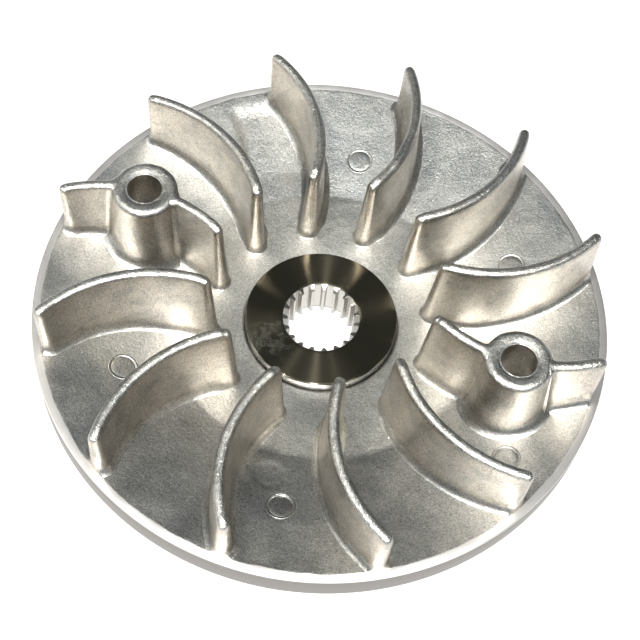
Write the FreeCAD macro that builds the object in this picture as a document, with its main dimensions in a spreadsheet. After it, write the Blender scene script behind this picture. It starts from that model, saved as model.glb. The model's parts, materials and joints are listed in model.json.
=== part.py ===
"""Drive face of a belt variator with a cooling fan: a die-cast aluminium disc with curved vanes and
two bosses on one side, a conical belt face on the other, and a steel splined hub cast into its middle.

Frame: +Z is the axis, towards the fan side. The origin is the centre of the flat rear seat.
The two bosses lie on the X axis. Sizes are in millimetres and angles in degrees.
"""

import FreeCAD, Part
import math
import os

import Sketcher

DOC = FreeCAD.newDocument("drive_face")
SHEET = DOC.addObject("Spreadsheet::Sheet", "Dims")

DRIVING_DIMENSIONS = [
    ("rim_radius", 75.0, "outer radius of the disc"),
    ("rim_top", 20.3, "height of the rim's top land above the rear seat"),
    ("rim_wall", 8.0, "height of the rim's cylindrical wall"),
    ("land_width", 2.1, "turned flat land inside the rim's top corner"),
    ("rim_break", 0.5, "corner breaks of the rim"),
    ("belt_angle", 15.0, "slope of the belt face from the disc's plane"),
    ("crease_radius", 40.5, "crease where the fan side's dish steepens"),
    ("crease_drop", 7.05, "depth of the crease below the land"),
    ("floor_drop", 8.8, "depth of the dish below the land at the hub"),
    ("hub_radius", 20.2, "radius of the steel hub"),
    ("hub_height", 14.6, "height of the hub's face above the rear seat"),
    ("hub_break", 0.4, "corner breaks of the hub"),
    ("flange_radius", 24.0, "flange that locks the hub into the casting"),
    ("flange_low", 3.6, "lower side of the flange"),
    ("flange_high", 8.4, "upper side of the flange"),
    ("flange_notch", 2.4, "radius of the flange's round notches"),
    ("notch_count", 8, "notches around the flange"),
    ("relief_radius", 12.0, "counterbore behind the splines"),
    ("relief_depth", 3.2, "depth of the counterbore"),
    ("tooth_count", 19, "internal spline teeth"),
    ("tooth_tip_radius", 8.85, "radius to the tips of the internal teeth"),
    ("tooth_root_radius", 10.2, "radius to the bottoms of the spline spaces"),
    ("space_half_at_tip", 7.45, "half angle of a spline space at the tip radius"),
    ("space_half_at_root", 5.05, "half angle of a spline space at the root radius"),
    ("space_inner_radius", 7.2, "radius inside the bore where a space's outline closes"),
    ("spline_turn", 7.47, "angle from +X to the first spline space"),
    ("vane_count", 12, "vanes around the disc, the two boss vanes among them"),
    ("vane_lead", 7.67, "angle from a boss to the outer tip of its own vane"),
    ("vane_top", 37.4, "height of the vanes and bosses above the rear seat"),
    ("vane_foot", 11.0, "height of the plane under the dish where a blade starts"),
    ("vane_inner_radius", 29.2, "reach of a vane's inner end at its top"),
    ("vane_inner_slope", 0.9, "how much further in a vane reaches at its foot"),
    ("vane_arc_radius", 39.53, "radius of a vane's centre line"),
    ("vane_arc_x", 48.8, "centre of that arc, along the line to the outer tip"),
    ("vane_arc_y", 32.4, "centre of that arc, across the same line"),
    ("vane_top_width", 2.9, "thickness of a vane at its top"),
    ("vane_foot_width", 4.6, "thickness of a vane at its foot plane"),
    ("vane_round", 1.3, "rounding along a vane's top"),
    ("boss_circle", 52.6, "distance from the axis to a boss"),
    ("boss_radius", 8.5, "radius of a boss at its top"),
    ("boss_foot_radius", 9.8, "radius of a boss at its foot plane"),
    ("boss_round", 1.3, "rounding of a boss's top edge"),
    ("boss_hole_radius", 4.4, "radius of the blind hole in a boss"),
    ("boss_hole_round", 0.6, "rounding of the hole's mouth"),
    ("boss_hole_depth", 16.6, "depth of the blind hole below the boss's top"),
    ("cut_margin", 12.0, "how far cutting profiles run past the material"),
]


class Size:
    """A dimension that knows both its value and the sheet expression that it is bound with."""

    def __init__(self, value, text):
        self.value = float(value)
        self.text = text

    def joined(self, other, sign, value):
        return Size(value, f"({self.text} {sign} {other.text})")

    def __add__(self, other):
        return self.joined(other, "+", self.value + other.value)

    def __sub__(self, other):
        return self.joined(other, "-", self.value - other.value)

    def __mul__(self, other):
        return self.joined(other, "*", self.value * other.value)

    def __truediv__(self, other):
        return self.joined(other, "/", self.value / other.value)


def number(value):
    """A plain number, usable beside sheet dimensions."""
    return Size(value, f"({value})")


def cosine(angle):
    return Size(math.cos(math.radians(angle.value)), f"cos({angle.text})")


def sine(angle):
    return Size(math.sin(math.radians(angle.value)), f"sin({angle.text})")


def tangent(angle):
    return Size(math.tan(math.radians(angle.value)), f"tan({angle.text})")


def fill_sheet():
    """Writes the driving dimensions to the sheet and returns them as sizes by name."""
    sizes = {}
    for row, (alias, value, meaning) in enumerate(DRIVING_DIMENSIONS, start=1):
        SHEET.set(f"A{row}", alias)
        SHEET.set(f"B{row}", str(value))
        SHEET.setAlias(f"B{row}", alias)
        SHEET.set(f"C{row}", meaning)
        sizes[alias] = Size(value, f"Dims.{alias}")
    DOC.recompute()
    return sizes


D = fill_sheet()
ZERO = number(0)
TWO = number(2)
FULL_TURN = number(360)
AXIS = FreeCAD.Vector(0, 0, 1)
SMALLEST_CUT = 1.0
SAME_LENGTH = 0.001

DISH_FLOOR = D["rim_top"] - D["floor_drop"]
CREASE_HEIGHT = D["rim_top"] - D["crease_drop"]
LAND_RADIUS = D["rim_radius"] - D["land_width"]


def new_body(label, turn=None):
    """A body whose own frame is the disc's, turned about the axis by a size in degrees."""
    body = DOC.addObject("PartDesign::Body", label)
    body.Label = label
    if turn is not None:
        body.Placement = FreeCAD.Placement(FreeCAD.Vector(), FreeCAD.Rotation(AXIS, turn.value))
        body.setExpression("Placement.Rotation.Angle", turn.text)
    return body


def new_sketch(body, name, plane_role, height=None):
    """A sketch on one of the body's origin planes, lifted along the plane's normal by height."""
    sketch = body.newObject("Sketcher::SketchObject", name)
    plane = next(f for f in body.Origin.OriginFeatures if f.Role == plane_role)
    sketch.AttachmentSupport = [(plane, "")]
    sketch.MapMode = "FlatFace"
    if height is not None:
        sketch.AttachmentOffset = FreeCAD.Placement(FreeCAD.Vector(0, 0, height.value), FreeCAD.Rotation())
        sketch.setExpression("AttachmentOffset.Base.z", height.text)
    return sketch


def bind(sketch, size, kind, *references):
    """Adds a dimension to the sketch and binds it to the sheet. A zero is left a plain number."""
    index = sketch.addConstraint(Sketcher.Constraint(kind, *references, size.value))
    if size.text != ZERO.text:
        sketch.setExpression(f"Constraints[{index}]", size.text)


def pin_point(sketch, geometry, end, x, y):
    """Places one point of a sketch's geometry by its two distances from the origin."""
    bind(sketch, x, "DistanceX", -1, 1, geometry, end)
    bind(sketch, y, "DistanceY", -1, 1, geometry, end)


def draw_polygon(sketch, corners):
    """A closed outline of straight lines through corners, given as pairs of sizes."""
    points = [FreeCAD.Vector(x.value, y.value, 0) for x, y in corners]
    count = len(points)
    for i in range(count):
        sketch.addGeometry(Part.LineSegment(points[i], points[(i + 1) % count]), False)
    for i in range(count):
        sketch.addConstraint(Sketcher.Constraint("Coincident", i, 2, (i + 1) % count, 1))
    for i, (x, y) in enumerate(corners):
        pin_point(sketch, i, 1, x, y)


def draw_circle(sketch, x, y, radius):
    """A circle placed and sized by the sheet."""
    centre = FreeCAD.Vector(x.value, y.value, 0)
    sketch.addGeometry(Part.Circle(centre, AXIS, radius.value), False)
    pin_point(sketch, 0, 3, x, y)
    bind(sketch, radius, "Radius", 0)


def spin(body, sketch, feature_type, name):
    """A full turn of a profile in the XZ plane about the Z axis, added or cut."""
    feature = body.newObject(feature_type, name)
    feature.Profile = sketch
    feature.ReferenceAxis = (sketch, ["V_Axis"])
    feature.Angle = 360.0
    sketch.Visibility = False
    DOC.recompute()
    return feature


def require_cut(body, make_feature):
    """Makes a cutting feature and checks that it takes material away and leaves some."""
    before = body.Shape.Volume
    feature = make_feature()
    DOC.recompute()
    after = body.Shape.Volume
    if not 0.0 < after < before - SMALLEST_CUT:
        raise RuntimeError(f"{feature.Label} took {body.Label} from {before:.1f} to {after:.1f} mm3")
    return feature


# ---------------------------------------------------------------- the disc and the hub


def draw_disc_profile(sketch):
    """Half section of the casting, before the hub's seat is cut: rear seat, belt face, rim, dish."""
    belt_reach = (D["rim_top"] - D["rim_wall"]) / tangent(D["belt_angle"])
    belt_start = D["rim_radius"] - belt_reach
    rim_low = D["rim_top"] - D["rim_wall"]
    draw_polygon(sketch, [
        (ZERO, ZERO),
        (belt_start, ZERO),
        (D["rim_radius"] - D["rim_break"], rim_low - D["rim_break"] * tangent(D["belt_angle"])),
        (D["rim_radius"], rim_low + D["rim_break"]),
        (D["rim_radius"], D["rim_top"] - D["rim_break"]),
        (D["rim_radius"] - D["rim_break"], D["rim_top"]),
        (LAND_RADIUS, D["rim_top"]),
        (D["crease_radius"], CREASE_HEIGHT),
        (D["hub_radius"], DISH_FLOOR),
        (ZERO, DISH_FLOOR),
    ])


def add_hub_envelope(body):
    """The hub's outside: a drum with a notched flange half way down, which the casting grips."""
    flange_thickness = D["flange_high"] - D["flange_low"]
    profile = new_sketch(body, f"{body.Label}_profile", "XZ_Plane")
    draw_polygon(profile, [
        (ZERO, ZERO),
        (D["hub_radius"], ZERO),
        (D["hub_radius"], D["flange_low"]),
        (D["flange_radius"], D["flange_low"]),
        (D["flange_radius"], D["flange_high"]),
        (D["hub_radius"], D["flange_high"]),
        (D["hub_radius"], D["hub_height"] - D["hub_break"]),
        (D["hub_radius"] - D["hub_break"], D["hub_height"]),
        (ZERO, D["hub_height"]),
    ])
    spin(body, profile, "PartDesign::Revolution", f"{body.Label}_drum")
    notch_sketch = new_sketch(body, f"{body.Label}_notch_outline", "XY_Plane", D["flange_high"])
    draw_circle(notch_sketch, D["flange_radius"], ZERO, D["flange_notch"])

    def cut_notch():
        notch = body.newObject("PartDesign::Pocket", f"{body.Label}_notch")
        notch.Profile = notch_sketch
        notch.Length = flange_thickness.value
        notch.setExpression("Length", flange_thickness.text)
        return notch

    notch = require_cut(body, cut_notch)
    repeat_around(body, notch, notch_sketch, D["notch_count"])


def repeat_around(body, feature, sketch, count):
    """Repeats a feature evenly around the axis."""
    pattern = body.newObject("PartDesign::PolarPattern", f"{feature.Label}_ring")
    pattern.Originals = [feature]
    pattern.Axis = (sketch, ["N_Axis"])
    pattern.Angle = 360.0
    pattern.Occurrences = int(count.value)
    pattern.setExpression("Occurrences", count.text)
    body.Tip = pattern
    sketch.Visibility = False
    DOC.recompute()


def make_sheave_disc():
    """The cast disc, with the hub's seat cut out of a turned blank."""
    blank = new_body("disc_blank")
    profile = new_sketch(blank, "disc_profile", "XZ_Plane")
    draw_disc_profile(profile)
    spin(blank, profile, "PartDesign::Revolution", "disc_turning")
    envelope = new_body("hub_envelope")
    add_hub_envelope(envelope)
    disc = DOC.addObject("Part::Cut", "sheave_disc")
    disc.Label = "sheave_disc"
    disc.Base = blank
    disc.Tool = envelope
    DOC.recompute()
    return disc


def make_splined_hub():
    """The steel hub: the envelope, bored to the tooth tips, relieved behind and splined."""
    hub = new_body("splined_hub")
    add_hub_envelope(hub)
    bore_profile = new_sketch(hub, "bore_profile", "XZ_Plane")
    draw_polygon(bore_profile, [
        (ZERO, ZERO - D["cut_margin"]),
        (D["relief_radius"], ZERO - D["cut_margin"]),
        (D["relief_radius"], D["relief_depth"]),
        (D["tooth_tip_radius"], D["relief_depth"]),
        (D["tooth_tip_radius"], D["hub_height"] + D["cut_margin"]),
        (ZERO, D["hub_height"] + D["cut_margin"]),
    ])
    require_cut(hub, lambda: spin(hub, bore_profile, "PartDesign::Groove", "bore"))
    space_outline = new_sketch(hub, "spline_space_outline", "XY_Plane", D["hub_height"])
    draw_spline_space(space_outline)

    def cut_space():
        space = hub.newObject("PartDesign::Pocket", "spline_space")
        space.Profile = space_outline
        space.Type = "ThroughAll"
        return space

    space = require_cut(hub, cut_space)
    repeat_around(hub, space, space_outline, D["tooth_count"])
    return hub


def draw_spline_space(sketch):
    """One space between two teeth: straight flanks from inside the bore to an arc at the root."""
    inner = D["space_inner_radius"]
    flank_lean = D["space_half_at_tip"] - D["space_half_at_root"]
    depth = D["tooth_root_radius"] - D["tooth_tip_radius"]
    inner_half = D["space_half_at_tip"] + flank_lean * (D["tooth_tip_radius"] - inner) / depth
    centre = D["spline_turn"]
    root = D["tooth_root_radius"]

    def place(radius, angle):
        return radius * cosine(angle), radius * sine(angle)

    corners = [
        place(inner, centre - inner_half),
        place(root, centre - D["space_half_at_root"]),
        place(root, centre + D["space_half_at_root"]),
        place(inner, centre + inner_half),
    ]
    points = [FreeCAD.Vector(x.value, y.value, 0) for x, y in corners]
    first = math.radians((centre - D["space_half_at_root"]).value)
    last = math.radians((centre + D["space_half_at_root"]).value)
    circle = Part.Circle(FreeCAD.Vector(), AXIS, root.value)
    outline = [
        Part.LineSegment(points[0], points[1]),
        Part.ArcOfCircle(circle, first, last),
        Part.LineSegment(points[2], points[3]),
        Part.LineSegment(points[3], points[0]),
    ]
    for edge in outline:
        sketch.addGeometry(edge, False)
    for i in range(len(outline)):
        sketch.addConstraint(Sketcher.Constraint("Coincident", i, 2, (i + 1) % len(outline), 1))
    sketch.addConstraint(Sketcher.Constraint("Coincident", 1, 3, -1, 1))
    pin_point(sketch, 0, 1, *corners[0])
    pin_point(sketch, 0, 2, *corners[1])
    bind(sketch, corners[2][1], "DistanceY", -1, 1, 2, 1)
    pin_point(sketch, 3, 1, *corners[3])


# ---------------------------------------------------------------- vanes and bosses


def angle_on_vane_line(reach):
    """The angle, about the arc's centre, of the vane line's point at that distance from the disc's axis."""
    cx, cy, radius = D["vane_arc_x"].value, D["vane_arc_y"].value, D["vane_arc_radius"].value
    span = math.hypot(cx, cy)
    along = (reach * reach - radius * radius + span * span) / (2 * span)
    across = math.sqrt(reach * reach - along * along)
    x = (along * cx + across * cy) / span
    y = (along * cy - across * cx) / span
    return math.atan2(y - cy, x - cx)


def draw_blade_outline(sketch, inner_reach, outer_reach, width):
    """A curved slot: two arcs about one centre, closed by a half circle at each end.

    The reaches are the distances from the disc's axis to the centres of the two half circles."""
    cx, cy, radius = D["vane_arc_x"], D["vane_arc_y"], D["vane_arc_radius"]
    centre = FreeCAD.Vector(cx.value, cy.value, 0)
    half = width / TWO
    start = angle_on_vane_line(inner_reach.value)
    end = angle_on_vane_line(outer_reach.value)

    def arc(middle, arc_radius, first, last):
        circle = Part.Circle(middle, AXIS, arc_radius)
        return sketch.addGeometry(Part.ArcOfCircle(circle, first, last), False)

    def on_line(angle):
        offset = FreeCAD.Vector(math.cos(angle), math.sin(angle), 0)
        return centre + offset * radius.value

    far_side = arc(centre, (radius + half).value, start, end)
    outer_cap = arc(on_line(end), half.value, end, end + math.pi)
    near_side = arc(centre, (radius - half).value, start, end)
    inner_cap = arc(on_line(start), half.value, start + math.pi, start + 2 * math.pi)
    sketch.addConstraint(Sketcher.Constraint("Coincident", near_side, 3, far_side, 3))
    for first, first_end, second, second_end in (
        (far_side, 2, outer_cap, 1),
        (outer_cap, 2, near_side, 2),
        (near_side, 1, inner_cap, 1),
        (inner_cap, 2, far_side, 1),
    ):
        sketch.addConstraint(Sketcher.Constraint("Tangent", first, first_end, second, second_end))
    pin_point(sketch, far_side, 3, cx, cy)
    bind(sketch, radius + half, "Radius", far_side)
    bind(sketch, radius - half, "Radius", near_side)
    bind(sketch, inner_reach, "Distance", -1, 1, inner_cap, 3)
    bind(sketch, outer_reach, "Distance", -1, 1, outer_cap, 3)


def cut_to_dish(body):
    """Takes away all that lies under the dish and outside the rim's land."""
    profile = new_sketch(body, f"{body.Label}_dish_profile", "XZ_Plane")
    far = D["rim_radius"] + D["cut_margin"]
    draw_polygon(profile, [
        (ZERO, ZERO - D["cut_margin"]),
        (far, ZERO - D["cut_margin"]),
        (far, D["rim_top"]),
        (LAND_RADIUS, D["rim_top"]),
        (D["crease_radius"], CREASE_HEIGHT),
        (D["hub_radius"], DISH_FLOOR),
        (ZERO, DISH_FLOOR),
    ])
    require_cut(body, lambda: spin(body, profile, "PartDesign::Groove", f"{body.Label}_dish"))


def is_at_top(edge):
    """Whether an edge lies in the plane of the vanes' and bosses' tops."""
    return min(vertex.Z for vertex in edge.Vertexes) > D["vane_top"].value - SAME_LENGTH


def is_hole_mouth(edge):
    """Whether an edge is the circle where a boss's hole meets its top."""
    is_circle = isinstance(edge.Curve, Part.Circle)
    return is_circle and is_at_top(edge) and abs(edge.Curve.Radius - D["boss_hole_radius"].value) < SAME_LENGTH


def round_edges(body, name, is_chosen, radius):
    """Rounds the edges of a body that a test picks out."""
    sharp = body.Tip
    edges = [f"Edge{i}" for i, edge in enumerate(sharp.Shape.Edges, start=1) if is_chosen(edge)]
    rounding = body.newObject("PartDesign::Fillet", name)
    rounding.Base = (sharp, edges)
    rounding.Radius = radius.value
    rounding.setExpression("Radius", radius.text)
    DOC.recompute()


def add_blade(body, inner_top, inner_foot, outer_top, outer_foot):
    """A drafted blade between a narrow outline at the top and a wide one under the dish."""
    foot = new_sketch(body, f"{body.Label}_foot", "XY_Plane", D["vane_foot"])
    draw_blade_outline(foot, inner_foot, outer_foot, D["vane_foot_width"])
    top = new_sketch(body, f"{body.Label}_top", "XY_Plane", D["vane_top"])
    draw_blade_outline(top, inner_top, outer_top, D["vane_top_width"])
    blade = body.newObject("PartDesign::AdditiveLoft", f"{body.Label}_blade")
    blade.Profile = top
    blade.Sections = [foot]
    blade.Ruled = True
    foot.Visibility = False
    top.Visibility = False
    DOC.recompute()
    round_edges(body, f"{body.Label}_ridge", is_at_top, D["vane_round"])
    cut_to_dish(body)


def add_boss_cone(body, feature_type, x, y):
    """The drafted outside of a boss, as a cone that is added to a body or cut from it."""
    height = D["vane_top"] - D["vane_foot"]
    cone = body.newObject(feature_type, f"{body.Label}_boss_wall")
    plane = next(f for f in body.Origin.OriginFeatures if f.Role == "XY_Plane")
    cone.AttachmentSupport = [(plane, "")]
    cone.MapMode = "FlatFace"
    for axis, size in (("x", x), ("y", y), ("z", D["vane_foot"])):
        cone.setExpression(f"AttachmentOffset.Base.{axis}", size.text)
    for name, size in (("Radius1", D["boss_foot_radius"]), ("Radius2", D["boss_radius"]), ("Height", height)):
        cone.setExpression(name, size.text)
    DOC.recompute()
    return cone


HALF_TOP = D["vane_top_width"] / TWO
HALF_FOOT = D["vane_foot_width"] / TWO
INNER_END = (
    D["vane_inner_radius"] + HALF_TOP,
    D["vane_inner_radius"] - D["vane_inner_slope"] + HALF_FOOT,
)
OUTER_END = (LAND_RADIUS - HALF_TOP, LAND_RADIUS - HALF_FOOT)
BOSS_END = (D["boss_circle"], D["boss_circle"])


def vane_turn(index):
    """Angle of a vane's outer tip. Vane 0 belongs to the boss on +X."""
    return D["vane_lead"] + FULL_TURN / D["vane_count"] * number(index)


def make_fan_vane(label, index):
    """A plain vane, one blade from the hub's edge of the dish to the rim."""
    body = new_body(label, vane_turn(index))
    add_blade(body, INNER_END[0], INNER_END[1], OUTER_END[0], OUTER_END[1])
    return body


def make_boss_vane(label, index, inner, outer):
    """One of the two pieces of vane that meet a boss, cut back to the boss's drafted wall."""
    body = new_body(label, vane_turn(index))
    add_blade(body, inner[0], inner[1], outer[0], outer[1])
    x = D["boss_circle"] * cosine(D["vane_lead"])
    y = ZERO - D["boss_circle"] * sine(D["vane_lead"])
    require_cut(body, lambda: add_boss_cone(body, "PartDesign::SubtractiveCone", x, y))
    return body


def make_boss(label, turn):
    """A round, drafted boss with a rounded top edge and a blind hole."""
    body = new_body(label, turn)
    add_boss_cone(body, "PartDesign::AdditiveCone", D["boss_circle"], ZERO)
    round_edges(body, f"{label}_shoulder", is_at_top, D["boss_round"])
    cut_to_dish(body)
    mouth = new_sketch(body, f"{label}_mouth", "XY_Plane", D["vane_top"])
    draw_circle(mouth, D["boss_circle"], ZERO, D["boss_hole_radius"])

    def cut_hole():
        hole = body.newObject("PartDesign::Pocket", f"{label}_hole")
        hole.Profile = mouth
        hole.Length = D["boss_hole_depth"].value
        hole.setExpression("Length", D["boss_hole_depth"].text)
        return hole

    require_cut(body, cut_hole)
    round_edges(body, f"{label}_lip", is_hole_mouth, D["boss_hole_round"])
    return body


def make_vanes_and_bosses():
    """Ten plain vanes, and on the X axis two bosses, each with an outer and an inner piece of vane."""
    count = int(D["vane_count"].value)
    opposite = count // 2
    pieces = []
    plain = [i for i in range(count) if i not in (0, opposite)]
    for place, index in enumerate(plain, start=1):
        pieces.append(make_fan_vane(f"fan_vane_{place:02d}", index))
    for side, index in (("a", 0), ("b", opposite)):
        turn = FULL_TURN / D["vane_count"] * number(index)
        pieces.append(make_boss(f"boss_{side}", turn))
        pieces.append(make_boss_vane(f"boss_vane_outer_{side}", index, BOSS_END, OUTER_END))
        pieces.append(make_boss_vane(f"boss_vane_inner_{side}", index, INNER_END, BOSS_END))
    return pieces


# ---------------------------------------------------------------- checks and files


def check_document():
    """Stops if any object failed to build."""
    DOC.recompute()
    for item in DOC.Objects:
        if "Invalid" in item.State or "Error" in item.State:
            raise RuntimeError(f"{item.Label} failed: {item.State}")


def write_pieces(pieces):
    """Writes one STEP file for each piece, named by its label."""
    os.makedirs("parts", exist_ok=True)
    for piece in pieces:
        shape = piece.Shape
        if shape.isNull() or not shape.isValid() or len(shape.Solids) != 1:
            raise RuntimeError(f"{piece.Label} has {len(shape.Solids)} solids, valid {shape.isValid()}")
        shape.exportStep(f"parts/{piece.Label}.step")
        print(f"{piece.Label}: {shape.Volume / 1000:.2f} cm3")


PIECES = [make_sheave_disc(), make_splined_hub()] + make_vanes_and_bosses()
check_document()
write_pieces(PIECES)
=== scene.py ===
import json
import math

import bmesh
import bpy
import numpy as np
from mathutils import Matrix, Vector


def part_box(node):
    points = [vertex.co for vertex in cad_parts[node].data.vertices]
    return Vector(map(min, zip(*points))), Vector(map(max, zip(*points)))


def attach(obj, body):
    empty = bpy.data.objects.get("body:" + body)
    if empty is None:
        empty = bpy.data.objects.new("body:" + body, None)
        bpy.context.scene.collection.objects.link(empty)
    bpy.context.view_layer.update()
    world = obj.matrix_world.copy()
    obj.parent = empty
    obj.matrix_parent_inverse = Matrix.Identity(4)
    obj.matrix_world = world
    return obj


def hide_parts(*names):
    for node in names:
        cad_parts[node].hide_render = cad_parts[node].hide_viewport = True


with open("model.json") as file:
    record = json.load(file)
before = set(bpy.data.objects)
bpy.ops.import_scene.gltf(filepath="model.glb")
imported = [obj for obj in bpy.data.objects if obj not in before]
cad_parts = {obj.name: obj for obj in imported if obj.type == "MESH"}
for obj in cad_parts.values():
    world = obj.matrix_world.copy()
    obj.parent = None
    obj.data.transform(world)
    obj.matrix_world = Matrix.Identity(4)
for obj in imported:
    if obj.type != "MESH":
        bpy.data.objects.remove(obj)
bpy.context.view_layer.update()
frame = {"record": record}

# ------------------------------------------------------------------ sizes, in metres

MM = 0.001
MOUNTS = {mount["name"]: mount for mount in frame["record"]["mounts"]}
RIM_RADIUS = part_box("sheave_disc")[1].x
RIM_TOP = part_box("sheave_disc")[1].z
HUB_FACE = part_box("splined_hub")[1].z
VANE_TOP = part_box("fan_vane_01")[1].z
BOSS_CIRCLE = MOUNTS["boss_hole_a"]["pos_m"][0]
HOLE_RADIUS = MOUNTS["boss_hole_a"]["dims"]["r_mm"] * MM
HOLE_DEPTH = MOUNTS["boss_hole_a"]["dims"]["length_mm"] * MM
RELIEF_RADIUS = MOUNTS["rear_counterbore"]["dims"]["r_mm"] * MM
RELIEF_DEPTH = MOUNTS["rear_counterbore"]["dims"]["length_mm"] * MM

LAND_WIDTH = 2.1 * MM
RIM_WALL = 8.0 * MM
BELT_SLOPE = math.tan(math.radians(15))
LAND_RADIUS = RIM_RADIUS - LAND_WIDTH
CREASE_RADIUS = 40.5 * MM
CREASE_HEIGHT = RIM_TOP - 7.05 * MM
FLOOR_HEIGHT = RIM_TOP - 8.8 * MM
SUNKEN_DEPTH = 0.5 * MM
UNDER_FLOOR = 1.5 * MM
HUB_RADIUS = 20.2 * MM

TOOTH_COUNT = 19
TOOTH_TIP = 8.85 * MM
TOOTH_ROOT = 10.2 * MM
SPACE_HALF_TIP = math.radians(7.45)
SPACE_HALF_ROOT = math.radians(5.05)
SPACE_TURN = math.radians(7.47)
TOOTH_END_SLOPE = 0.55

VANE_COUNT = 12
VANE_LEAD = math.radians(7.67)
VANE_INNER = 29.2 * MM
ARC_X, ARC_Y, ARC_RADIUS = 48.8 * MM, 32.4 * MM, 39.53 * MM
VANE_HALF_TOP = 1.45 * MM
VANE_DRAFT = math.tan(math.radians(1.85))
VANE_ROUND = 1.35 * MM
VANE_INNER_LEAN = 0.9 * MM
VANE_OUTER_LEAN = 0.8 * MM
VANE_FOOT = 13 * MM
ROOT_FILLET = 3.0 * MM
FILLET_START = math.radians(24)

BOSS_TOP_RADIUS = 8.5 * MM
BOSS_DRAFT = math.tan(math.radians(4.0))
BOSS_ROUND = 1.5 * MM
BOSS_CREST = 6.9 * MM
BOSS_MOUTH_DROP = 0.6 * MM
BOSS_FOOT = 15 * MM
BOSS_FILLET = 4.2 * MM
HOLE_BURR = 0.13 * MM


# ------------------------------------------------------------------ numpy helpers


def ripple(points, wavelength, seed, waves=28):
    """Smooth irregularity, mostly between -1 and 1.

    The sum of sine waves, each with a seeded random direction, phase and stretch of the wavelength,
    divided by the square root of their number."""
    random = np.random.default_rng(seed)
    directions = random.normal(size=(waves, 3))
    directions /= np.linalg.norm(directions, axis=1)[:, None]
    stretch = random.uniform(0.6, 1.6, waves)
    phases = random.uniform(0, 2 * np.pi, waves)
    total = np.zeros(points.shape[:-1])
    for direction, factor, phase in zip(directions, stretch, phases):
        total += np.sin(points @ direction * (2 * np.pi * factor / wavelength) + phase)
    return total / math.sqrt(waves)


def step(values, low, high):
    """A smooth step: 0 below low, 1 above high, and between them three squares less two cubes of the way."""
    t = np.clip((values - low) / (high - low), 0, 1)
    return t * t * (3 - 2 * t)


def closed_skin(name, grid, materials, row_material=None):
    """A closed solid from a grid of points.

    Each row is a ring, and the rows follow the profile. The first and last rows are collapsed onto a point
    or a line, or lie on each other, and are merged there."""
    rows, columns, _ = grid.shape
    index = np.arange(rows * columns).reshape(rows, columns)
    low, high = index[:-1], index[1:]
    quads = np.stack([low, np.roll(low, -1, 1), np.roll(high, -1, 1), high], axis=-1).reshape(-1, 4)
    mesh = bpy.data.meshes.new(name)
    mesh.vertices.add(rows * columns)
    mesh.vertices.foreach_set("co", grid.astype(np.float32).ravel())
    mesh.loops.add(quads.size)
    mesh.loops.foreach_set("vertex_index", quads.astype(np.int32).ravel())
    mesh.polygons.add(len(quads))
    mesh.polygons.foreach_set("loop_start", np.arange(0, quads.size, 4, dtype=np.int32))
    for material in materials:
        mesh.materials.append(material)
    if row_material is not None:
        mesh.polygons.foreach_set("material_index", np.repeat(row_material, columns).astype(np.int32))
    mesh.update()
    sheet = bmesh.new()
    sheet.from_mesh(mesh)
    bmesh.ops.remove_doubles(sheet, verts=sheet.verts, dist=0.5e-6)
    bmesh.ops.dissolve_degenerate(sheet, edges=sheet.edges, dist=0.2e-6)
    bmesh.ops.recalc_face_normals(sheet, faces=sheet.faces)
    sheet.to_mesh(mesh)
    sheet.free()
    mesh.polygons.foreach_set("use_smooth", np.ones(len(mesh.polygons), bool))
    piece = bpy.data.objects.new(name, mesh)
    bpy.context.scene.collection.objects.link(piece)
    return piece


def stand_for(piece, node):
    """The piece rides on the one body and is shown in place of the node."""
    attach(piece, "root")
    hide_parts(node)


def round_corner(start, corner, end, radius, count=6):
    """The arc, as count points, that rounds a corner of a profile.

    Its centre lies on the corner's bisector, the radius over the sine of half the angle away, so that the
    arc touches both sides."""
    start, corner, end = (np.array(p, float) for p in (start, corner, end))
    to_start = (start - corner) / np.linalg.norm(start - corner)
    to_end = (end - corner) / np.linalg.norm(end - corner)
    half = math.acos(np.clip(to_start @ to_end, -1, 1)) / 2
    reach = radius / math.tan(half)
    middle = (to_start + to_end) / np.linalg.norm(to_start + to_end)
    centre = corner + middle * radius / math.sin(half)
    first = corner + to_start * reach - centre
    turn = math.pi - 2 * half
    sign = np.sign(to_start[0] * to_end[1] - to_start[1] * to_end[0])
    angles = np.linspace(0, -sign * turn, count)
    cos, sin = np.cos(angles), np.sin(angles)
    return centre + np.stack([first[0] * cos - first[1] * sin, first[0] * sin + first[1] * cos], axis=1)


def fill_profile(points, spacing):
    """Adds points along a profile so that no two neighbours are further apart than spacing."""
    out = [points[:1]]
    for a, b in zip(points[:-1], points[1:]):
        count = max(1, math.ceil(np.linalg.norm(b - a) / spacing))
        out.append(a + (b - a) * np.linspace(0, 1, count + 1)[1:, None])
    return np.concatenate(out)


# ------------------------------------------------------------------ the disc


PIN_MARKS = [(52.2, 104.7, 0.0), (54.4, 45.0, 0.0), (61.5, -15.1, 0.0), (55.5, -73.7, 0.3), (53.7, -134.4, 0.0)]
PIN_RADIUS = 3.4 * MM


def pin_centre(reach, bearing):
    """The place at a distance in millimetres and a bearing in degrees from the disc's axis."""
    angle = math.radians(bearing)
    return reach * MM * math.cos(angle), reach * MM * math.sin(angle)


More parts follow.
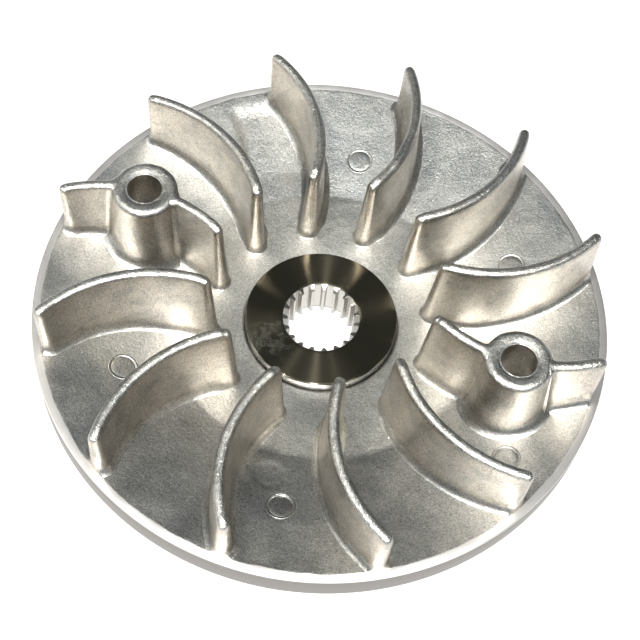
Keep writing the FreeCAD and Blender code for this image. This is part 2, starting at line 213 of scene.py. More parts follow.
def sunken_field(x, y):
    """How sunken, 0 to 1, a place is in the one channel whose floor lies lower.

    A soft-edged fan that starts at the crease, ends short of the rim and lies against the next vane: the
    product of a smooth step off its curved free side, one off its outer edge and one off the crease, and
    nothing beyond the vane's centre line."""
    radius = np.hypot(x, y)
    bearing = np.arctan2(y, x)
    left = np.radians(139.5 - 0.13 * (radius / MM - 60) + 0.012 * (radius / MM - 60) ** 2)
    sideways = step((left - bearing) * radius, -0.8 * MM, 2.0 * MM)
    outside = step(70.8 * MM - radius, -0.4 * MM, 5.0 * MM)
    inside = step(radius, CREASE_RADIUS - 0.5 * MM, CREASE_RADIUS + 9 * MM)
    theta = arc_angle(np.clip(radius, 30 * MM, LAND_RADIUS))
    vane_x = ARC_X + ARC_RADIUS * np.cos(theta)
    vane_y = ARC_Y + ARC_RADIUS * np.sin(theta)
    right = np.arctan2(vane_y, vane_x) + VANE_LEAD + math.radians(120)
    return sideways * outside * inside * (bearing > right)


def floor_height(x, y):
    """Height of the cast dish at a place.

    Two cones that meet in a soft crease: the inner cone's slope all the way, plus the difference of the
    slopes times a smoothed ramp that starts at the crease. Two ripples are added. The sunken field, a faint
    round hollow and a shallow seat under each pin mark are taken off."""
    radius = np.hypot(x, y)
    inner = (CREASE_HEIGHT - FLOOR_HEIGHT) / (CREASE_RADIUS - HUB_RADIUS)
    outer = (RIM_TOP - CREASE_HEIGHT) / (LAND_RADIUS - CREASE_RADIUS)
    softness = 0.22 * MM
    bend = softness * np.logaddexp(0, (radius - CREASE_RADIUS) / softness)
    height = CREASE_HEIGHT + inner * (radius - CREASE_RADIUS) + (outer - inner) * bend
    points = np.stack([x, y, np.zeros_like(x)], axis=-1)
    height = height + 0.035 * MM * ripple(points, 17 * MM, 3) + 0.010 * MM * ripple(points, 4 * MM, 4)
    height = height - SUNKEN_DEPTH * sunken_field(x, y)
    hollow_x, hollow_y = pin_centre(47.5, -79.0)
    height = height - 0.16 * MM * (1 - step(np.hypot(x - hollow_x, y - hollow_y), 3.2 * MM, 4.6 * MM))
    for reach, bearing, depth in PIN_MARKS:
        pin_x, pin_y = pin_centre(reach, bearing)
        near = np.hypot(x - pin_x, y - pin_y)
        height = height - (depth + 0.12) * MM * (1 - step(near, PIN_RADIUS - 0.5 * MM, PIN_RADIUS + 0.2 * MM))
    return height


def make_disc(cast, turned):
    """The disc: a full turn of its half section.

    The profile runs down the hub's socket, out over the flat seat and the belt face, up the rim wall, in
    over the land, and down the dish to the hub. On the dish the height is floor_height, never above the
    rim. The edge where the turned land meets the cast dish wanders by two ripples, and the rings inside it
    follow by the eighth power of their share of the way out."""
    around = 600
    rim_low = RIM_TOP - RIM_WALL
    seat_edge = RIM_RADIUS - rim_low / BELT_SLOPE
    bore = HUB_RADIUS + 0.03 * MM
    corners = [
        (bore, FLOOR_HEIGHT - 0.5 * MM),
        (bore, 0.0),
        (seat_edge, 0.0),
        (RIM_RADIUS, rim_low),
        (RIM_RADIUS, RIM_TOP),
        (LAND_RADIUS, RIM_TOP),
    ]
    breaks = [0.15 * MM, 1.5 * MM, 0.5 * MM, 0.3 * MM]
    back = [np.array([corners[0]])]
    for i, radius in enumerate(breaks, start=1):
        back.append(round_corner(corners[i - 1], corners[i], corners[i + 1], radius, 5))
    back = fill_profile(np.concatenate(back), 6.0 * MM)
    angle = np.linspace(0, 2 * np.pi, around, endpoint=False)
    cos, sin = np.cos(angle), np.sin(angle)
    rim = np.stack([cos, sin, 0 * cos], axis=-1) * RIM_RADIUS
    edge = LAND_RADIUS + 0.10 * MM * ripple(rim, 9 * MM, 8) + 0.06 * MM * ripple(rim, 2.5 * MM, 9)
    back_grid = np.stack([back[:, :1] * cos, back[:, :1] * sin, back[:, 1:] + 0 * cos], axis=-1)
    edge_row = np.stack([edge * cos, edge * sin, 0 * cos + RIM_TOP], axis=-1)[None]
    reach = np.concatenate([
        np.linspace(LAND_RADIUS, CREASE_RADIUS + 1 * MM, 66)[1:],
        np.linspace(CREASE_RADIUS + 1 * MM, CREASE_RADIUS - 1 * MM, 10)[1:],
        np.linspace(CREASE_RADIUS - 1 * MM, HUB_RADIUS + 0.4 * MM, 40)[1:],
    ])
    share = ((reach - reach[-1]) / (LAND_RADIUS - reach[-1]))[:, None]
    reach = reach[:, None] + (edge - LAND_RADIUS) * share ** 8
    x, y = reach * cos, reach * sin
    dish_grid = np.stack([x, y, np.minimum(floor_height(x, y), RIM_TOP)], axis=-1)
    grid = np.concatenate([back_grid, edge_row, dish_grid, back_grid[:1]])
    is_turned = np.zeros(len(grid) - 1)
    is_turned[:len(back)] = 1
    piece = closed_skin("disc", grid, [cast, turned], is_turned)
    stand_for(piece, "sheave_disc")


def make_pin_marks(cast):
    """The round marks that a mould's ejector pins leave: a flat coin inside a thin raised lip.

    Rings about the mark's centre. Each has a distance out from the pin's radius and a rise over the dish's
    level round the mark, tilted with the dish, and the lip's rise is uneven round its turn."""
    angle = np.linspace(0, 2 * np.pi, 72, endpoint=False)
    for number, (reach, bearing, depth) in enumerate(PIN_MARKS, start=1):
        pin_x, pin_y = pin_centre(reach, bearing)
        lip = 0.13 if depth == 0 else 0.22
        sink = 0.0 if depth == 0 else -depth - 0.02
        round_turn = np.stack([np.cos(angle), np.sin(angle), 0 * angle], axis=-1)
        uneven = np.clip(0.5 + 0.5 * ripple(round_turn, 1.6, 60 + number), 0, 1.4)
        level = floor_height(pin_x + (PIN_RADIUS + 1 * MM) * np.cos(angle),
                             pin_y + (PIN_RADIUS + 1 * MM) * np.sin(angle))
        rows = []
        for out, rise, wander in (
            (0.0, -0.9, 0), (0.35, -0.9, 0), (0.35, -0.03, 0), (0.24, 0.75 * lip, 1), (0.12, lip, 1),
            (0.0, 0.9 * lip, 1), (-0.16, 0.1 * lip + sink * 0.6, 1), (-0.26, sink - 0.1, 0),
            (-0.5, sink - 0.01, 0), (-1.6, sink + 0.02, 0), (None, sink + 0.02, 0),
        ):
            radius = 0.0 if out is None or (out == 0.0 and rise < -0.5) else PIN_RADIUS + out * MM
            height = level if out is not None and out > -0.2 and radius > 0 else level.mean() + 0 * level
            slope = (level - level.mean()) * (radius / (PIN_RADIUS + 1 * MM))
            z = level.mean() + slope + rise * MM * (uneven if wander else 1)
            rows.append(np.stack([pin_x + radius * np.cos(angle), pin_y + radius * np.sin(angle), z], axis=-1))
        piece = closed_skin(f"pin_mark_{number}", np.array(rows), [cast])
        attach(piece, "root")


# ------------------------------------------------------------------ the hub


def bore_radius(angle):
    """Radius of the splined bore at an angle.

    The root radius over the middle of each space, the tip radius over each tooth, and straight in the
    angle between them."""
    pitch = 2 * math.pi / TOOTH_COUNT
    off = np.abs((angle - SPACE_TURN + pitch / 2) % pitch - pitch / 2)
    flank = np.clip((off - SPACE_HALF_ROOT) / (SPACE_HALF_TIP - SPACE_HALF_ROOT), 0, 1)
    return TOOTH_ROOT + (TOOTH_TIP - TOOTH_ROOT) * flank


def make_hub(steel):
    """The hub: rings about the axis, one after another along its section.

    Down the counterbore's wall, out over the back, up the drum, in over the face, down the sloped ends of
    the teeth, down the splines at bore_radius, and out to the counterbore again."""
    pitch = 2 * math.pi / TOOTH_COUNT
    share = np.array([0, 0.3, 0.62, 0.86, 0.95, 1.0])
    root = SPACE_HALF_ROOT * share
    flank = np.array([0.06, 0.2, 0.4, 0.6, 0.8, 0.94, 1.0])
    flank = SPACE_HALF_ROOT + (SPACE_HALF_TIP - SPACE_HALF_ROOT) * flank
    tip = SPACE_HALF_TIP + (pitch / 2 - SPACE_HALF_TIP) * np.array([0.08, 0.25, 0.5, 1.0])
    half = np.concatenate([root, flank, tip])
    one = np.concatenate([-half[:0:-1][1:], half])
    angle = (SPACE_TURN + np.arange(TOOTH_COUNT)[:, None] * pitch + one).ravel()
    bore = bore_radius(angle)
    top = HUB_FACE
    lip = 0.12 * MM
    outer = np.concatenate([
        [(RELIEF_RADIUS, RELIEF_DEPTH)],
        round_corner((RELIEF_RADIUS, RELIEF_DEPTH), (RELIEF_RADIUS, 0), (HUB_RADIUS, 0), 0.3 * MM),
        round_corner((RELIEF_RADIUS, 0), (HUB_RADIUS, 0), (HUB_RADIUS, top), 0.15 * MM),
        round_corner((HUB_RADIUS, 0), (HUB_RADIUS, top), (RELIEF_RADIUS, top), 0.35 * MM, 8),
    ])
    outer = fill_profile(outer, 1.0 * MM)
    rings = [(np.full_like(angle, radius), height) for radius, height in outer]
    reach_in = np.linspace(0, 1, 12)[1:]
    edge = outer[-1, 0]
    mouth = TOOTH_ROOT + lip
    rings += [(edge + (mouth - edge) * share + 0 * angle, top) for share in reach_in]
    for share in (0.08, 0.5, 0.94):
        rings.append((mouth + (bore - mouth) * share, top - TOOTH_END_SLOPE * (mouth - bore) * share))
    end = top - TOOTH_END_SLOPE * (mouth - bore)
    rings += [(bore, end - lip + (RELIEF_DEPTH + 2 * lip - end) * share) for share in np.linspace(0, 1, 14)]
    rings += [(bore + lip, RELIEF_DEPTH), (np.full_like(angle, RELIEF_RADIUS), RELIEF_DEPTH)]
    cos, sin = np.cos(angle), np.sin(angle)
    rows = [np.stack([radius * cos, radius * sin, height + 0 * angle], axis=-1) for radius, height in rings]
    grid = np.array(rows)
    piece = closed_skin("hub", grid, [steel])
    stand_for(piece, "splined_hub")


# ------------------------------------------------------------------ vanes and bosses


def arc_angle(reach):
    """Angle about the arc's centre of the centre line's point at that distance from the disc's axis.

    The point is where the circle of that reach about the disc's axis meets the arc's circle, clockwise of
    the line to the arc's centre."""
    span = math.hypot(ARC_X, ARC_Y)
    along = (reach ** 2 - ARC_RADIUS ** 2 + span ** 2) / (2 * span)
    across = np.sqrt(reach ** 2 - along ** 2)
    x = (along * ARC_X + across * ARC_Y) / span
    y = (along * ARC_Y - across * ARC_X) / span
    return np.arctan2(y - ARC_Y, x - ARC_X)


def turned_by(x, y, turn):
    """A place turned about the disc's axis."""
    return x * math.cos(turn) - y * math.sin(turn), x * math.sin(turn) + y * math.cos(turn)


def vane_shell(turn, inner, outer, boss=None):
    """Points of a blade: columns go round a curved slot, rows go up from under the dish to the ridge.

    inner and outer are the reaches of the two end caps' centres. Each column keeps its place on the centre
    line and its direction away from it, and each row says how far out and how high. The rows are: under the
    floor; the root fillet, an arc that leaves the floor at FILLET_START and ends upright, and reaches out
    half as far at the inner end; the drafted side, in even shares of the height up to the round; and the
    rounded top, whose width goes by a power of the cosine and height by the sine. Near a boss the side
    swings out along a round that touches the boss's wall."""
    along = 64
    cap = 14
    place = np.linspace(0, 1, along)
    if boss == "inner end":
        place = place ** 1.8
    if boss == "outer end":
        place = 1 - (1 - place) ** 1.8
    half_turn = np.linspace(0, math.pi, cap + 2)[1:-1]
    share = np.concatenate([place, np.ones(cap), place[::-1], np.zeros(cap)])
    swing = np.concatenate([np.zeros(along), half_turn, np.full(along, math.pi), math.pi + half_turn])
    seed = int(round(math.degrees(turn)))
    boss_x, boss_y = BOSS_CIRCLE * math.cos(-VANE_LEAD), BOSS_CIRCLE * math.sin(-VANE_LEAD)

    side_rows, top_rows, fillet_rows = 22, 9, 9
    quarter = np.linspace(FILLET_START, math.pi / 2, fillet_rows)
    rise = np.linspace(0, math.pi / 2, top_rows)
    span = VANE_TOP - VANE_FOOT

    def centre(level):
        """Centre line points and outward directions at a level, 0 at the foot and 1 at the ridge."""
        start = inner - (0 if boss == "inner end" else VANE_INNER_LEAN) * (1 - level)
        end = outer - (0 if boss == "outer end" else VANE_OUTER_LEAN) * (1 - level)
        first, last = arc_angle(start), arc_angle(end)
        theta = first + (last - first) * share
        x = ARC_X + ARC_RADIUS * np.cos(theta)
        y = ARC_Y + ARC_RADIUS * np.sin(theta)
        nx, ny = np.cos(theta + swing), np.sin(theta + swing)
        return x, y, nx, ny

    def half_width(height):
        """Half the blade's thickness on the drafted side at a height."""
        return VANE_HALF_TOP + (VANE_TOP - height) * VANE_DRAFT

    def widened(width, x, y, height):
        """The half width with the fillet that meets the boss's wall."""
        if boss is None:
            return width
        distance = np.hypot(x - boss_x, y - boss_y)
        wall = boss_wall(height)
        blend = 2.2 * MM
        far = np.sqrt(np.maximum((wall + blend) ** 2 - (width + blend) ** 2, 0))
        near = far * wall / (wall + blend)
        inside = np.clip(far - np.maximum(distance, near), 0, blend)
        return width + blend - np.sqrt(blend ** 2 - inside ** 2)

    rows = []

    def add_row(offset, height_of, level):
        """Adds a row: offset gives the distance from the centre line, height_of the height over the floor."""
        x, y, nx, ny = centre(level)
        reach = offset(x, y)
        px, py = turned_by(x + nx * reach, y + ny * reach, turn)
        distance = np.hypot(px, py)
        keep = np.minimum(distance, LAND_RADIUS - 0.02 * MM) / distance
        px, py = px * keep, py * keep
        floor = floor_height(px, py)
        rows.append(np.stack([px, py, height_of(floor, x, y)], axis=-1))

    foot = half_width(VANE_FOOT)
    add_row(lambda x, y: 0 * x, lambda floor, x, y: floor - UNDER_FLOOR, 0)
    spread = ROOT_FILLET * (1 - math.sin(FILLET_START))
    tuck = 1 - 0.5 * (1 - step(share, 0, 0.08))
    add_row(lambda x, y: widened(foot, x, y, VANE_FOOT) + spread * tuck,
            lambda floor, x, y: floor - UNDER_FLOOR, 0)
    add_row(lambda x, y: widened(foot, x, y, VANE_FOOT) + spread * tuck + 0.2 * MM,
            lambda floor, x, y: floor - 0.06 * MM, 0)
    for a in quarter:
        add_row(lambda x, y: widened(foot, x, y, VANE_FOOT) + ROOT_FILLET * (1 - math.sin(a)) * tuck,
                lambda floor, x, y: floor + ROOT_FILLET * (math.cos(FILLET_START) - math.cos(a)), 0)
    base = rows[-1][:, 2]
    corner = 1.5 * MM

    def crest(x, y):
        """Height of the ridge, which bends down over the blade's free ends and is slightly uneven."""
        reach = np.hypot(x, y)
        line = np.stack([x, y, np.full_like(x, turn * MM * 40)], axis=-1)
        low = np.zeros_like(reach)
        if boss != "inner end":
            near = np.clip((inner + corner - reach) / corner, 0, 1)
            low += corner * (1 - np.sqrt(1 - 0.6 * near ** 2))
        if boss != "outer end":
            near = np.clip((reach - outer + corner * 0.4) / (corner * 0.4), 0, 1)
            low += 0.4 * corner * (1 - np.sqrt(1 - 0.6 * near ** 2))
        if boss is not None:
            near = np.hypot(x - boss_x, y - boss_y)
            low += 0.5 * MM * (1 - step(near, 5.9 * MM, 7.8 * MM))
        return VANE_TOP - 0.02 * MM - low + 0.05 * MM * np.minimum(ripple(line, 7 * MM, seed), 0)

    for share_up in np.linspace(0, 1, side_rows)[1:]:
        level = share_up * (span - VANE_ROUND) / span

        def side_height(floor, x, y, share_up=share_up):
            return base + (crest(x, y) - VANE_ROUND - base) * share_up

        nominal = VANE_FOOT + share_up * (span - VANE_ROUND)
        width = half_width(nominal)
        add_row(lambda x, y: widened(width, x, y, nominal), side_height, level)
    for a in rise[1:]:
        bulge = math.cos(a) ** 0.85
        up = math.sin(a)
        nominal = VANE_TOP - VANE_ROUND * (1 - up)
        level = (nominal - VANE_FOOT) / span

        def top_height(floor, x, y, up=up):
            return crest(x, y) - VANE_ROUND * (1 - up)

        width = VANE_HALF_TOP * bulge
        add_row(lambda x, y: widened(width, x, y, nominal), top_height, level)
    add_row(lambda x, y: 0 * x, lambda floor, x, y: crest(x, y), 1)
    return np.array(rows)


def boss_wall(height):
    """Outside radius of a boss at a height: drafted, with an elliptical shoulder up to its crest."""
    depth = VANE_TOP - height
    straight = BOSS_TOP_RADIUS + depth * BOSS_DRAFT
    up = min(1.0, max(0.0, (BOSS_ROUND - depth) / BOSS_ROUND))
    return BOSS_CREST + (straight - BOSS_CREST) * math.sqrt(1 - up ** 2)


def boss_shell(side):
    """A boss: rings about its own axis, given by a radius and a height.

    Under the floor; the root fillet, an arc that leaves the floor at FILLET_START; the drafted wall in even
    shares of its height; the elliptical shoulder; the top, which falls to the hole's mouth as the square of
    the way in and ends in a thin burr; and the blind hole with its rounded bottom."""
    around = 128
    angle = np.linspace(0, 2 * np.pi, around, endpoint=False)
    spread = BOSS_FILLET * (1 - math.sin(FILLET_START))
    foot = boss_wall(BOSS_FOOT + BOSS_FILLET)
    rows = []

    def ring(radius, height_of):
        """Adds a ring: height_of gives its height from the dish's height below each of its points."""
        x = side * BOSS_CIRCLE + radius * np.cos(angle)
        y = radius * np.sin(angle)
        floor = floor_height(x, y)
        rows.append(np.stack([x, y, height_of(floor)], axis=-1))

    ring(0.0, lambda floor: 0 * floor + floor.mean() - 2 * MM)
    ring(foot + spread, lambda floor: floor - UNDER_FLOOR)
    ring(foot + spread + 0.2 * MM, lambda floor: floor - 0.06 * MM)
    for a in np.linspace(FILLET_START, math.pi / 2, 10):
        ring(foot + BOSS_FILLET * (1 - math.sin(a)),
             lambda floor: floor + BOSS_FILLET * (math.cos(FILLET_START) - math.cos(a)))
    base = rows[-1][:, 2]
    shoulder = VANE_TOP - BOSS_ROUND
    for share in np.linspace(0, 1, 20)[1:]:
        height = base + (shoulder - base) * share
        radius = foot + (boss_wall(shoulder) - foot) * share
        ring(radius, lambda floor: height)
    for a in np.linspace(0, math.pi / 2, 12)[1:]:
        height = shoulder + BOSS_ROUND * math.sin(a)
        ring(boss_wall(min(height, VANE_TOP)), lambda floor: height + 0 * floor)
    lip = 0.12 * MM
    mouth = VANE_TOP - BOSS_MOUTH_DROP
    for share in (0.12, 0.25, 0.38, 0.5, 0.62, 0.74, 0.84, 0.89, 0.93, 0.97, 1.0):
        height = VANE_TOP - (BOSS_MOUTH_DROP - lip) * share ** 2 + HOLE_BURR * step(share, 0.86, 0.95)
        ring(BOSS_CREST + (HOLE_RADIUS + lip - BOSS_CREST) * share, lambda floor: height + 0 * floor)
    for a in (0.5, 1.0, math.pi / 2):
        ring(HOLE_RADIUS + lip * (1 - math.sin(a)),
             lambda floor: mouth + (lip + HOLE_BURR) * math.cos(a) + 0 * floor)
    bottom = mouth - HOLE_DEPTH
    round_in = 1.0 * MM
    for share in np.linspace(0, 1, 16)[1:]:
        height = mouth + (bottom + round_in - mouth) * share
        ring(HOLE_RADIUS, lambda floor: height + 0 * floor)
    for a in np.linspace(0, math.pi / 2, 5)[1:]:
        ring(HOLE_RADIUS - round_in * (1 - math.cos(a)),
             lambda floor: bottom + round_in * (1 - math.sin(a)) + 0 * floor)
    ring(0.0, lambda floor: bottom + 0 * floor)
    return np.array(rows)


def make_vanes(cast):
    """Ten plain vanes, two bosses on the X axis, and the pieces of vane on either side of each boss."""
    inner = VANE_INNER + VANE_HALF_TOP
    outer = LAND_RADIUS - VANE_HALF_TOP
    opposite = VANE_COUNT // 2
    plain = [i for i in range(VANE_COUNT) if i not in (0, opposite)]
    for number, index in enumerate(plain, start=1):
        turn = VANE_LEAD + 2 * math.pi / VANE_COUNT * index
        piece = closed_skin(f"vane_{number:02d}", vane_shell(turn, inner, outer), [cast])
        stand_for(piece, f"fan_vane_{number:02d}")
    into_wall = 7.3 * MM
    for side, letter in ((1, "a"), (-1, "b")):
        turn = VANE_LEAD + (0 if side == 1 else math.pi)
        piece = closed_skin(f"boss_{letter}_round", boss_shell(side), [cast])
        stand_for(piece, f"boss_{letter}")
        outside = vane_shell(turn, BOSS_CIRCLE + into_wall, outer, "inner end")
        piece = closed_skin(f"vane_outside_boss_{letter}", outside, [cast])
        stand_for(piece, f"boss_vane_outer_{letter}")
        inside = vane_shell(turn, inner, BOSS_CIRCLE - into_wall, "outer end")
        piece = closed_skin(f"vane_inside_boss_{letter}", inside, [cast])
        stand_for(piece, f"boss_vane_inner_{letter}")


# ------------------------------------------------------------------ materials


class Wire:
    """An output of a material's nodes. Arithmetic on wires adds Math nodes."""

    def __init__(self, recipe, socket):
        self.recipe = recipe
        self.socket = socket

    def math(self, operation, *values):
        return self.recipe.add("ShaderNodeMath", {"operation": operation}, *values)

    def __add__(self, other):
        return self.math("ADD", self, other)

    def __radd__(self, other):
        return self.math("ADD", other, self)

    def __sub__(self, other):
        return self.math("SUBTRACT", self, other)

    def __rsub__(self, other):
        return self.math("SUBTRACT", other, self)

    def __mul__(self, other):
        return self.math("MULTIPLY", self, other)

    def __rmul__(self, other):
        return self.math("MULTIPLY", other, self)

    def __abs__(self):
        return self.math("ABSOLUTE", self)

    def step(self, low, high, to_low=0.0, to_high=1.0):
        """An S-shaped step from to_low to to_high as the wire goes from low to high."""
        settings = {"interpolation_type": "SMOOTHSTEP"}
        return self.recipe.add("ShaderNodeMapRange", settings, self, low, high, to_low, to_high)


class Recipe:
    """A material being made, whose nodes are added one at a time."""

    def __init__(self, name):
        self.material = bpy.data.materials.new(name)
        self.material.use_nodes = True
        self.nodes = self.material.node_tree.nodes
        self.links = self.material.node_tree.links
        self.nodes.clear()

    def add(self, kind, settings=None, *values, output=0, **named):
        """Adds a node: settings first, then sockets in order or by name. Returns one of its outputs."""
        node = self.nodes.new(kind)
        for key, value in (settings or {}).items():
            setattr(node, key, value)
        sockets = [s for s in node.inputs if s.enabled]
        for socket, value in list(zip(sockets, values)) + [(node.inputs[k], v) for k, v in named.items()]:
            if isinstance(value, Wire):
                self.links.new(value.socket, socket)
            elif value is not None:
                socket.default_value = value
        return Wire(self, node.outputs[output]) if node.outputs else None

    def place(self):
        """Object coordinates in millimetres."""
        metres = self.add("ShaderNodeTexCoord", output="Object")
        return self.add("ShaderNodeVectorMath", {"operation": "SCALE"}, metres, Scale=1000.0)

    def level_place(self, where):
        """The place with its height taken out."""
        return self.add("ShaderNodeVectorMath", {"operation": "MULTIPLY"}, where, (1.0, 1.0, 0.0))

    def length(self, vector):
        return self.add("ShaderNodeVectorMath", {"operation": "LENGTH"}, vector, output="Value")

    def height(self, vector):
        return self.add("ShaderNodeSeparateXYZ", None, vector, output="Z")

    def facing_up(self):
        """The height of the surface's normal: 1 on a level face, 0 on an upright one."""
        return self.height(self.add("ShaderNodeNewGeometry", output="Normal"))

    def noise(self, where, size, detail=3.0, roughness=0.55, distortion=0.0):
        """Fractal noise, about 0 to 1, with features of a size in the units of where."""
        return self.add("ShaderNodeTexNoise", {"noise_dimensions": "3D"}, Vector=where, Scale=1.0 / size,
                        Detail=detail, Roughness=roughness, Distortion=distortion)

    def mix(self, factor, a, b):
        """Blends two colours."""
        node = self.nodes.new("ShaderNodeMix")
        node.data_type = "RGBA"
        for name, value in (("Factor_Float", factor), ("A_Color", a), ("B_Color", b)):
            socket = next(s for s in node.inputs if s.identifier == name)
            if isinstance(value, Wire):
                self.links.new(value.socket, socket)
            else:
                socket.default_value = value
        return Wire(self, next(s for s in node.outputs if s.identifier == "Result_Color"))

    def finish(self, **named):
        """Ends the recipe in a Principled surface."""
        surface = self.add("ShaderNodeBsdfPrincipled", None, **named)
        self.add("ShaderNodeOutputMaterial", None, surface)
        return self.material


def grey(value, warmth=0.0):
    """A neutral colour, a little warmer or, below zero, bluer."""
    return (value * (1 + warmth), value, value * (1 - warmth), 1.0)


def cast_aluminium(name, shade):
    """Die-cast metal: sandy and mottled, with bluish flow stains and pale patches, paler inside the crease.

    The drawn sides of the vanes and bosses carry a warm, blotchy painted reflection, and the ridges are
    darker in specks. shade is how much of the colour is kept: below 1 the whole surface is mixed with near
    black."""
    r = Recipe(name)
    where = r.place()
    height = r.height(where)
    upright = 1 - abs(r.facing_up())
    side = upright.step(0.35, 0.9)
    ridge = height.step(VANE_TOP / MM - 1.8, VANE_TOP / MM - 0.4)
    mottle = r.noise(where, 8.0, 6.0, 0.62)
    stain = r.noise(where, 21.0, 6.0, 0.62, 1.2)
    pale = r.noise(where, 12.0, 4.0, 0.55, 0.6)
    blotch = r.noise(where, 5.0, 3.0, 0.5, 0.4)
    pebble = r.noise(where, 1.7, 2.0, 0.6)
    sand = r.noise(where, 0.8, 3.0, 0.7)
    grain = r.noise(where, 0.36, 2.0, 0.7)
    base = r.mix(mottle.step(0.25, 0.75), (0.40, 0.405, 0.38, 1.0), (0.62, 0.62, 0.58, 1.0))
    base = r.mix(stain.step(0.48, 0.62) * 0.6, base, (0.24, 0.265, 0.275, 1.0))
    base = r.mix(pale.step(0.54, 0.7) * 0.5 * (1 - side), base, (0.74, 0.72, 0.64, 1.0))
    radius = r.length(r.level_place(where))
    inside = (radius + mottle * 4).step(CREASE_RADIUS / MM + 3, CREASE_RADIUS / MM)
    # paler colour for the dish inside the crease
    paler_inner_dish = r.mix(mottle.step(0.3, 0.7), (0.72, 0.71, 0.64, 1.0), (0.94, 0.92, 0.84, 1.0))
    base = r.mix(inside * 0.85 * (1 - side), base, paler_inner_dish)
    # painted reflection: warm brown and gold blotches on the upright sides stand in for the warm light they
    # mirror
    painted_side_reflection = r.mix(blotch.step(0.32, 0.6), (0.36, 0.30, 0.225, 1.0), (0.64, 0.545, 0.42, 1.0))
    base = r.mix(side * 0.8, base, painted_side_reflection)
    specks = (grain - 0.5) * 2.0 + (sand - 0.5) * 0.8
    base = r.mix(specks.step(-0.7, 0.7), r.mix(0.55, base, grey(0.03)), r.mix(0.35, base, grey(1.0)))
    # the ridges are darker in specks
    base = r.mix(ridge * sand.step(0.44, 0.58) * 0.5, base, (0.12, 0.11, 0.095, 1.0))
    base = r.mix(1 - shade, base, grey(0.02))
    rough = 0.25 + mottle * 0.17
    lumps = (pebble * 0.7 + sand * 0.9 + grain) * (1 + ridge * 0.8)
    bump = r.add("ShaderNodeBump", None, Strength=0.7, Distance=0.11 * MM, Height=lumps)
    return r.finish(**{"Base Color": base, "Metallic": 1.0, "Roughness": rough, "Normal": bump})


def turned_aluminium():
    """Aluminium turned on a lathe: a bright land, and a rim wall darkened with painted shade.

    The marks are fine and concentric, so the gloss spreads away from the axis."""
    r = Recipe("turned aluminium")
    where = r.place()
    radius = r.length(r.level_place(where))
    height = r.height(where)
    line = r.add("ShaderNodeTexNoise", {"noise_dimensions": "1D"}, W=radius * 4.0 + height * 7.0, Scale=1.0,
                 Detail=4.0, Roughness=0.7)
    cloud = r.noise(where, 6.0, 4.0, 0.6)
    land = r.mix(line * 0.6 + cloud * 0.4, grey(0.60, 0.02), grey(0.84, 0.02))
    # painted shade: the rim wall is given a dark colour in place of the shade seen on it
    wall = r.mix(line * 0.6 + cloud * 0.4, grey(0.15, 0.05), grey(0.25, 0.06))
    wall_top = RIM_TOP / MM
    wall_foot = (RIM_TOP - RIM_WALL) / MM
    painted_shade_on_wall = height.step(wall_top - 0.2, wall_top - 0.6) * height.step(wall_foot - 0.1, wall_foot + 0.5)
    base = r.mix(painted_shade_on_wall, land, wall)
    bump = r.add("ShaderNodeBump", None, Strength=0.25, Distance=0.02 * MM, Height=line)
    rough = 0.4 + cloud * 0.1
    return r.finish(**{"Base Color": base, "Metallic": 1.0, "Roughness": rough, "Normal": bump,
                       "Anisotropic": 0.4, "Anisotropic Rotation": 0.25})


def turned_steel():
    """The hub's steel: a finely turned face under a smear of old oil, painted dark as a stand-in for the dark
    room it mirrors, and brighter broached splines.
    """
    r = Recipe("turned steel")
    root = TOOTH_ROOT / MM
    where = r.place()
    around = r.level_place(where)
    radius = r.length(around)
    line = r.add("ShaderNodeTexNoise", {"noise_dimensions": "1D"}, W=radius * 6.0, Scale=1.0, Detail=5.0,
                 Roughness=0.8)
    on_face = r.facing_up().step(0.5, 0.9) * radius.step(root, root + 0.15)
    in_bore = radius.step(root + 0.8, root + 0.1)
    wiped = r.add("ShaderNodeVectorMath", {"operation": "DISTANCE"}, around, (-8.6, -12.3, 0.0), output="Value")
    smear = r.noise(where, 4.5, 6.0, 0.72, 1.6).step(0.42, 0.66) * wiped.step(8.5, 3.0)
    # painted reflection: the near-black face colour stands in for the dark surroundings the mirror-turned face
    # reflects
    oily_face_painted_dark = r.mix(line.step(0.3, 0.7), (0.10, 0.088, 0.062, 1.0), (0.17, 0.154, 0.115, 1.0))
    oily_face_painted_dark = r.mix(smear * 0.5, oily_face_painted_dark, (0.26, 0.28, 0.26, 1.0))
    wall = r.mix(in_bore, grey(0.24, 0.02), (0.50, 0.485, 0.455, 1.0))
    base = r.mix(on_face, wall, oily_face_painted_dark)
    bump = r.add("ShaderNodeBump", None, Strength=0.3, Distance=0.006 * MM, Height=line)
    rough = 0.17 + smear * 0.22
    return r.finish(**{"Base Color": base, "Metallic": 1.0, "Roughness": rough, "Normal": bump,
                       "Anisotropic": 1.0, "Anisotropic Rotation": 0.25})


# ------------------------------------------------------------------ the stage


CAMERA_AZIMUTH = 20.89
CAMERA_ELEVATION = 58.95


def direction(azimuth, elevation):
    """Unit vector towards a viewer or a light; azimuth 0 is the front, -Y, and grows towards +X."""
    a, e = math.radians(azimuth), math.radians(elevation)
    return Vector((math.sin(a) * math.cos(e), -math.cos(a) * math.cos(e), math.sin(e)))


def make_stage():
    """A bright pale floor and a dim, even room."""
    floor = Recipe("pale floor").finish(**{"Base Color": grey(0.3), "Roughness": 0.8,
                                           "Emission Color": grey(1.0), "Emission Strength": 0.85})
    side = 3.0
    mesh = bpy.data.meshes.new("floor")
    corners = [(-side, -side, 0), (side, -side, 0), (side, side, 0), (-side, side, 0)]
    mesh.from_pydata(corners, [], [(0, 1, 2, 3)])
    mesh.materials.append(floor)
    plane = bpy.data.objects.new("floor", mesh)
    bpy.context.scene.collection.objects.link(plane)

    world = bpy.data.worlds.new("dim room")
    bpy.context.scene.world = world
    world.use_nodes = True
    world.node_tree.nodes["Background"].inputs["Color"].default_value = (0.95, 1.0, 1.0, 1.0)
    world.node_tree.nodes["Background"].inputs["Strength"].default_value = 0.16


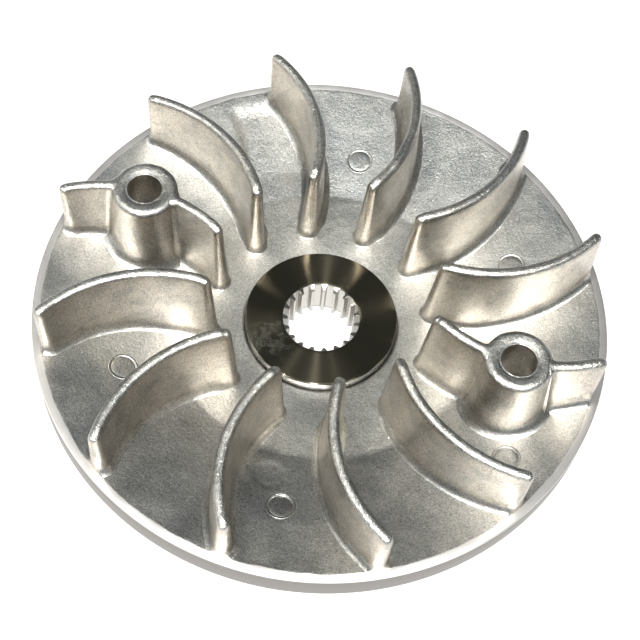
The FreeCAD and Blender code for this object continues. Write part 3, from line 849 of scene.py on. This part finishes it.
def towards_streak(angle, tilt):
    """Direction for a lamp that turned rings on a level face mirror as a streak.

    The streak runs at angle from the camera's side, and tilt is how far a facet must lean to pass the
    lamp's light to the camera: the view's direction mirrored about that facet's."""
    facet = direction(CAMERA_AZIMUTH + angle, 90 - tilt)
    view = direction(CAMERA_AZIMUTH, CAMERA_ELEVATION)
    return 2 * facet.dot(view) * facet - view


def add_light(name, towards, size, power, colour):
    """A rectangular soft light one metre away that looks at the middle of the object."""
    data = bpy.data.lights.new(name, "AREA")
    data.shape = "RECTANGLE"
    data.size, data.size_y = size
    data.energy = power
    data.color = colour
    lamp = bpy.data.objects.new(name, data)
    lamp.location = Vector((0, 0, RIM_TOP)) + towards
    lamp.rotation_euler = towards.to_track_quat("Z", "Y").to_euler()
    bpy.context.scene.collection.objects.link(lamp)


def make_camera():
    """The camera, placed by its direction from the disc's axis at the height of the rim's top."""
    roll = math.radians(6.75)
    distance = 4.652 * RIM_RADIUS
    back = direction(CAMERA_AZIMUTH, CAMERA_ELEVATION)
    right = direction(CAMERA_AZIMUTH + 90, 0)
    up = back.cross(right)
    rolled_right = right * math.cos(roll) + up * math.sin(roll)
    rolled_up = up * math.cos(roll) - right * math.sin(roll)
    data = bpy.data.cameras.new("camera")
    data.sensor_width = 36.0
    data.lens = 75.07
    data.shift_x = -0.0041
    data.shift_y = -0.0217
    data.clip_start = 0.01
    camera = bpy.data.objects.new("camera", data)
    turn = Matrix((rolled_right, rolled_up, back)).transposed()
    camera.matrix_world = Matrix.Translation(Vector((0, 0, RIM_TOP)) + back * distance) @ turn.to_4x4()
    bpy.context.scene.collection.objects.link(camera)
    bpy.context.scene.camera = camera


make_camera()
make_stage()
add_light("ceiling", direction(CAMERA_AZIMUTH, 80), (0.66, 0.66), 3.2, (0.96, 1.0, 1.0))
add_light("lamp above the camera", towards_streak(0, 30), (0.04, 0.04), 17.0, (1.0, 0.97, 0.94))
add_light("left lamp", towards_streak(-23, 25), (0.05, 0.05), 3.2, (1.0, 0.98, 0.92))
add_light("right lamp", towards_streak(18, 25), (0.04, 0.04), 2.3, (1.0, 0.98, 0.92))
add_light("window", towards_streak(-72, 13), (0.2, 0.2), 0.4, (1.0, 0.97, 0.9))
add_light("low left window", direction(CAMERA_AZIMUTH - 85, 33), (0.45, 0.3), 2.6, (1.0, 0.96, 0.88))
bpy.context.scene.view_settings.view_transform = "Standard"

CAST = cast_aluminium("cast aluminium", 1.0)
TURNED = turned_aluminium()
STEEL = turned_steel()
make_disc(CAST, TURNED)
make_pin_marks(cast_aluminium("dull cast aluminium", 0.72))
make_hub(STEEL)
make_vanes(CAST)
